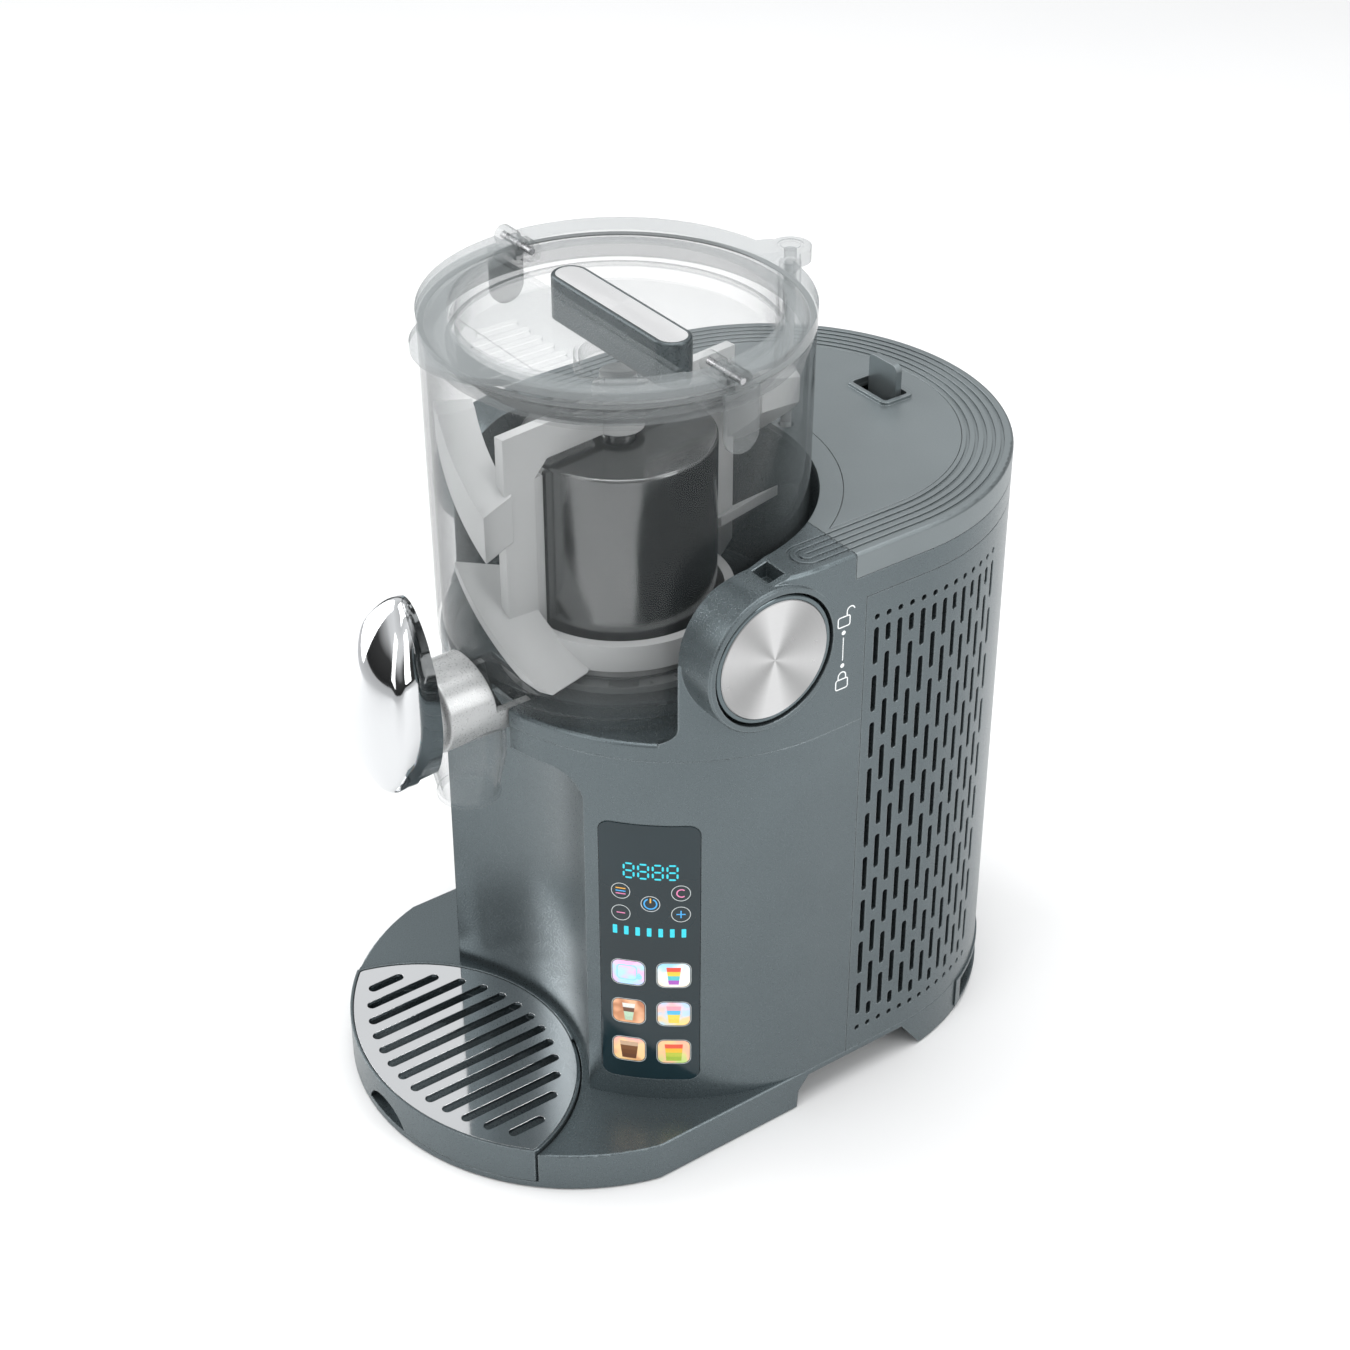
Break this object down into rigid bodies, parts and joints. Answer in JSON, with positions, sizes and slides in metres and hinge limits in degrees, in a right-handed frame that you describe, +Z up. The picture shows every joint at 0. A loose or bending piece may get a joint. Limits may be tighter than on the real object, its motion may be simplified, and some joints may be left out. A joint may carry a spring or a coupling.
{
  "type": "slushie machine",
  "caption": "Counter-top slushie machine with a clear lift-off bowl round a cold drum, turning dasher, hinged lid, lever spout, drip tray and vented body.",
  "frame": {"origin": "centre of the footprint, on the surface that it stands on", "axes": "+Z up, -Y towards the user and the spout, +X to the user's right"},
  "size_m": [0.2, 0.3093, 0.3613],
  "materials": {
    "housing": "satin metallic grey",
    "cover": "satin grey",
    "dark_plastic": "moulded black",
    "rubber": "matt",
    "clear": "clear smoky plastic",
    "chrome": "polished",
    "brushed": "spun",
    "stainless": "mirror-polished stainless",
    "steel": "plain",
    "light_plastic": "satin light grey",
    "panel_glass": "gloss black-teal",
    "circuit": "circuit board",
    "copper": "drawn copper",
    "aluminium": "fins",
    "black_paint": "black paint",
    "seal": "silicone"
  },
  "bodies": {
    "machine": {"base": "housing", "front_base_plate": "dark_plastic", "rear_base_plate": "dark_plastic", "base_screws": "steel", "rubber_feet": "rubber", "rear_recess_frame": "housing", "cord_gland": "dark_plastic", "lower_housing": "housing", "upper_cradle": "housing", "rear_vent_shell": "housing", "top_cover": "cover", "deck_panel": "cover", "control_panel_glass": "panel_glass", "display_board": "circuit", "evaporator_drum": "stainless", "drum_flange": "light_plastic", "drum_seal": "seal", "evaporator_coil": "copper", "gearbox": "steel", "drive_motor": "black_paint", "compressor": "black_paint", "compressor_mounts": "rubber", "condenser": "aluminium", "fan_shroud": "dark_plastic", "mainboard": "circuit", "lid_switch": "dark_plastic"},
    "bowl_unit": {"bowl": "clear", "bowl_gasket": "seal", "spout_barrel": "light_plastic", "spout_nozzle": "clear", "lever_pins": "steel"},
    "dasher_unit": {"dasher": "light_plastic", "dasher_scrapers": "light_plastic"},
    "shaft": {"drive_shaft": "steel"},
    "fan": {"fan_rotor": "dark_plastic"},
    "lid": {"lid_body": "clear", "lid_seal": "seal", "lid_bar": "housing", "lid_bar_inlay": "brushed", "hinge_pins": "steel"},
    "flap": {"pour_flap": "clear"},
    "rod": {"interlock_rod": "light_plastic"},
    "lever": {"dispense_lever": "chrome"},
    "plunger": {"valve_plunger": "light_plastic", "plunger_ring": "seal"},
    "knob_left": {"lock_knob_left": "chrome", "knob_disc_left": "brushed", "lock_cam_left": "light_plastic"},
    "knob_right": {"lock_knob_right": "chrome", "knob_disc_right": "brushed", "lock_cam_right": "light_plastic"},
    "tray": {"drip_tray": "housing"},
    "grille": {"drip_grille": "stainless"},
    "tab": {"release_tab": "cover"}
  },
  "joints": [
    {"name": "bowl_lift", "type": "slide", "parent": "machine", "child": "bowl_unit", "axis": [0, 0, 1], "range_m": [0, 0.16]},
    {"name": "dasher_spin", "type": "hinge", "parent": "bowl_unit", "child": "dasher_unit", "pos_m": [0, -0.02545, 0.26], "axis": [0, 0, 1], "continuous": true},
    {"name": "shaft_spin", "type": "hinge", "parent": "machine", "child": "shaft", "pos_m": [0, -0.02545, 0.26], "axis": [0, 0, 1], "continuous": true},
    {"name": "fan_spin", "type": "hinge", "parent": "machine", "child": "fan", "pos_m": [0, 0.09855, 0.094], "axis": [0, 1, 0], "continuous": true},
    {"name": "lid_lift", "type": "slide", "parent": "bowl_unit", "child": "lid", "axis": [0, 0, 1], "range_m": [0, 0.06]},
    {"name": "flap_hinge", "type": "hinge", "parent": "lid", "child": "flap", "pos_m": [0, -0.02545, 0.357], "axis": [-1, 0, 0], "range_deg": [0, 100]},
    {"name": "rod_slide", "type": "slide", "parent": "bowl_unit", "child": "rod", "axis": [0, 0, 1], "range_m": [0, 0.003]},
    {"name": "lever_tilt", "type": "hinge", "parent": "bowl_unit", "child": "lever", "pos_m": [0, -0.13245, 0.2052], "axis": [1, 0, 0], "range_deg": [0, 22], "stiffness_Nm_per_rad": 0.6},
    {"name": "plunger_slide", "type": "slide", "parent": "bowl_unit", "child": "plunger", "axis": [0, -1, 0], "range_m": [0, 0.01]},
    {"name": "knob_left_turn", "type": "hinge", "parent": "machine", "child": "knob_left", "pos_m": [0, -0.02265, 0.2435], "axis": [1, 0, 0], "range_deg": [0, 60]},
    {"name": "knob_right_turn", "type": "hinge", "parent": "machine", "child": "knob_right", "pos_m": [0, -0.02265, 0.2435], "axis": [1, 0, 0], "range_deg": [0, 60]},
    {"name": "tray_slide", "type": "slide", "parent": "machine", "child": "tray", "axis": [0, -1, 0], "range_m": [0, 0.095]},
    {"name": "grille_lift", "type": "slide", "parent": "tray", "child": "grille", "axis": [0, 0, 1], "range_m": [0, 0.03]},
    {"name": "tab_slide", "type": "slide", "parent": "machine", "child": "tab", "axis": [0, -1, 0], "range_m": [0, 0.005]}
  ],
  "couplings": [
    {"joint": "shaft_spin", "follows": "dasher_spin", "ratio": 1},
    {"joint": "plunger_slide", "follows": "lever_tilt", "m_per_rad": 0.025783}
  ]
}
